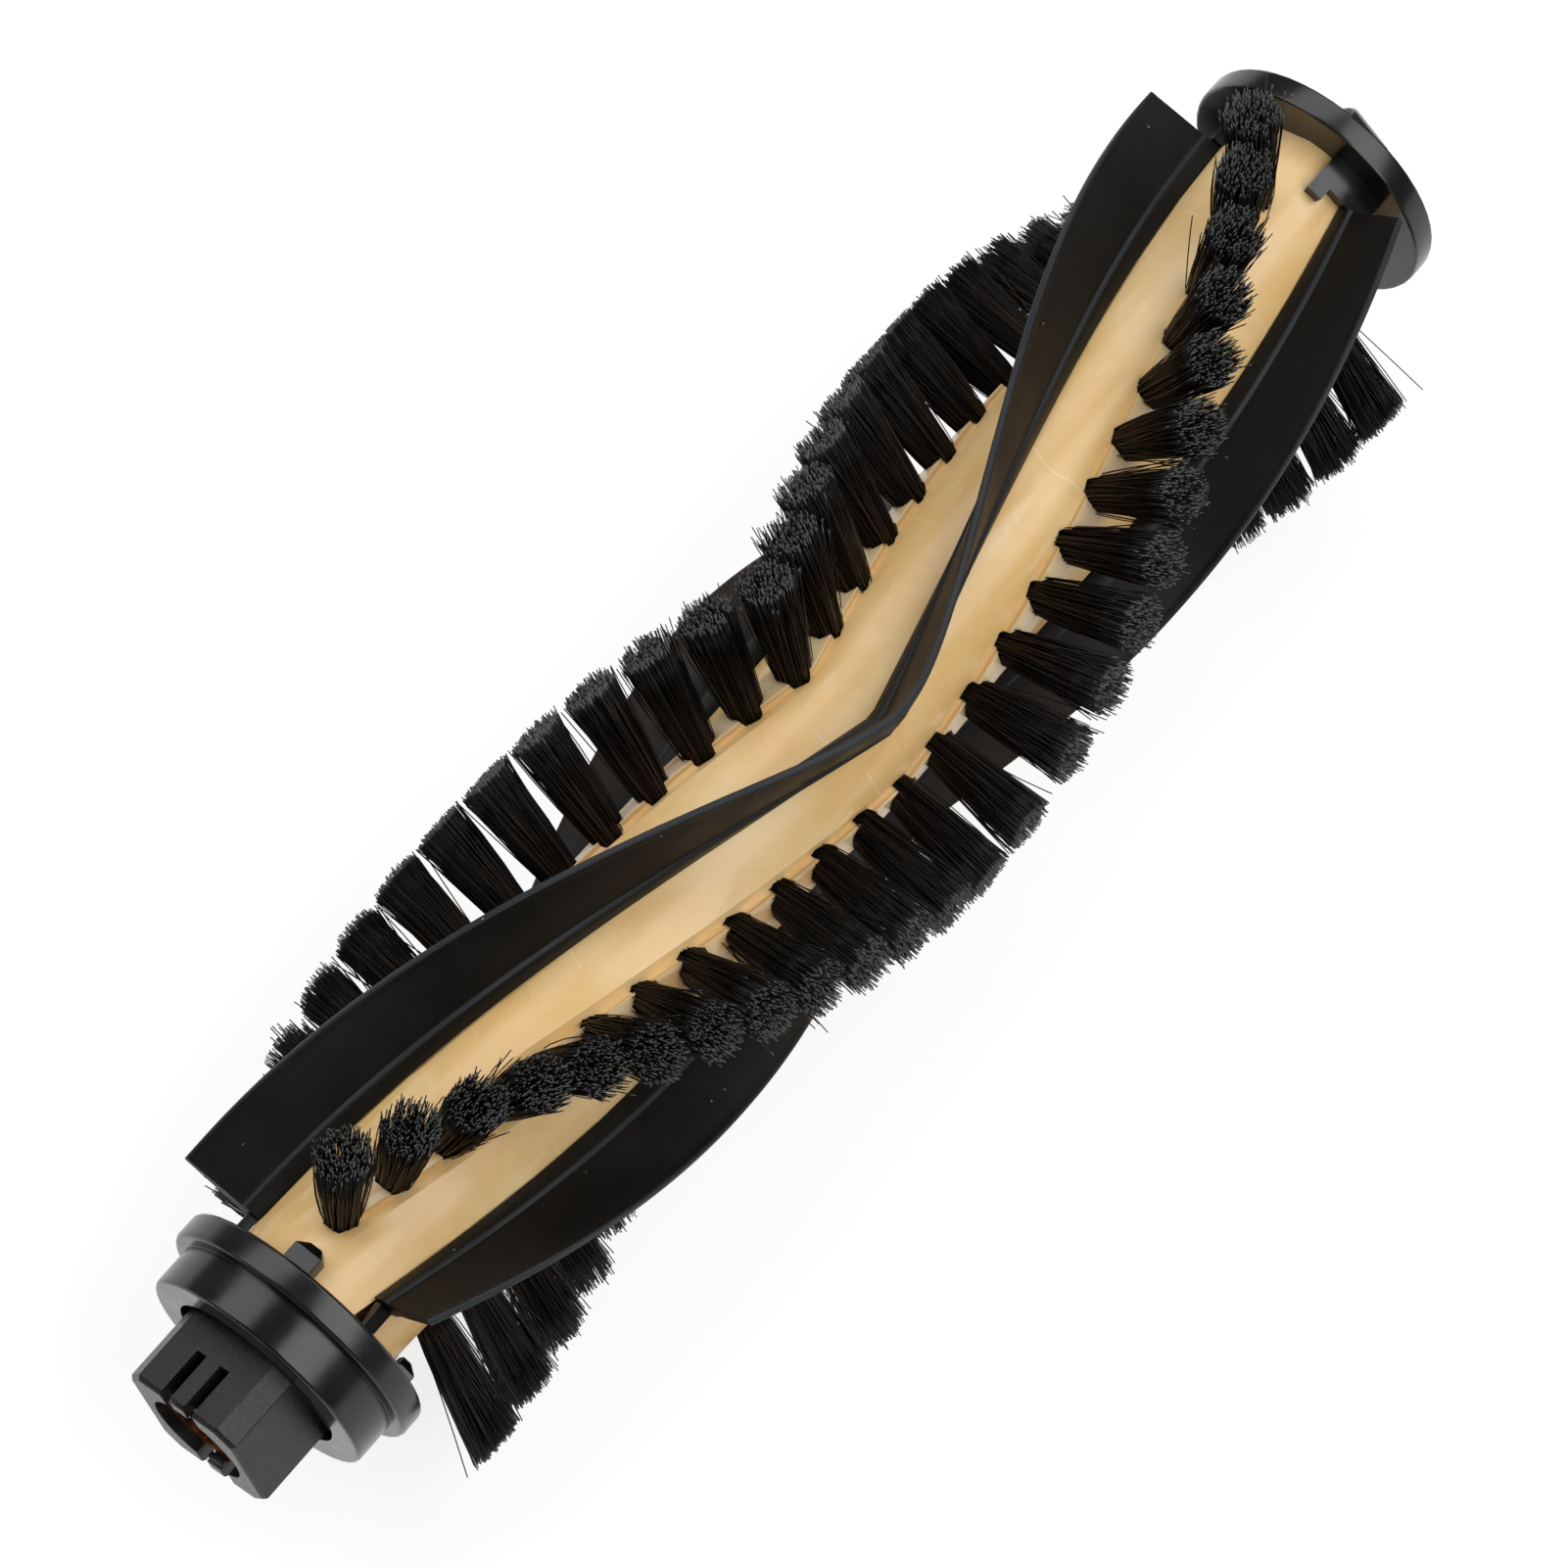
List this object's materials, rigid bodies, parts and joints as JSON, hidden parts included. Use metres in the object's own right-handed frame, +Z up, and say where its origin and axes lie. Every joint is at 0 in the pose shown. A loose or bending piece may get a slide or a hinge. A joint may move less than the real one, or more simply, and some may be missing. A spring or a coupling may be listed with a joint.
{
  "type": "roller brush",
  "caption": "Chevron roller brush for a floor-cleaning robot: rubber blades and bristle tufts on a moulded core, with a square drive peg and a turning bearing block.",
  "frame": {"origin": "on the resting surface, below the middle of the overall length on the roller's axis", "axes": "+X along the roller's axis from the bearing block to the drive peg, +Z up"},
  "size_m": [0.18, 0.0444, 0.0439],
  "materials": {
    "core_plastic": "satin, slightly translucent tan",
    "blade_rubber": "matt, dusty",
    "bristle_nylon": "fine filaments",
    "anchor_wire": "plain wire",
    "cap_plastic": "glossy black",
    "block_plastic": "fine spark texture",
    "bush_bronze": "sintered bronze"
  },
  "bodies": {
    "roller": {"brush_core": "core_plastic", "blade_1": "blade_rubber", "blade_2": "blade_rubber", "blade_3": "blade_rubber", "tufts_1_bearing_arm": "bristle_nylon", "tufts_1_drive_arm": "bristle_nylon", "tufts_2_bearing_arm": "bristle_nylon", "tufts_2_drive_arm": "bristle_nylon", "tufts_3_bearing_arm": "bristle_nylon", "tufts_3_drive_arm": "bristle_nylon", "anchors_1_bearing_arm": "anchor_wire", "anchors_1_drive_arm": "anchor_wire", "anchors_2_bearing_arm": "anchor_wire", "anchors_2_drive_arm": "anchor_wire", "anchors_3_bearing_arm": "anchor_wire", "anchors_3_drive_arm": "anchor_wire", "bearing_end_cap": "cap_plastic", "drive_end_cap": "cap_plastic"},
    "bearing": {"bearing_block": "block_plastic", "bearing_bush": "bush_bronze"}
  },
  "joints": [
    {"name": "bearing_spin", "type": "hinge", "parent": "roller", "child": "bearing", "pos_m": [-0.084, 0, 0.02155], "axis": [1, 0, 0], "continuous": true}
  ]
}
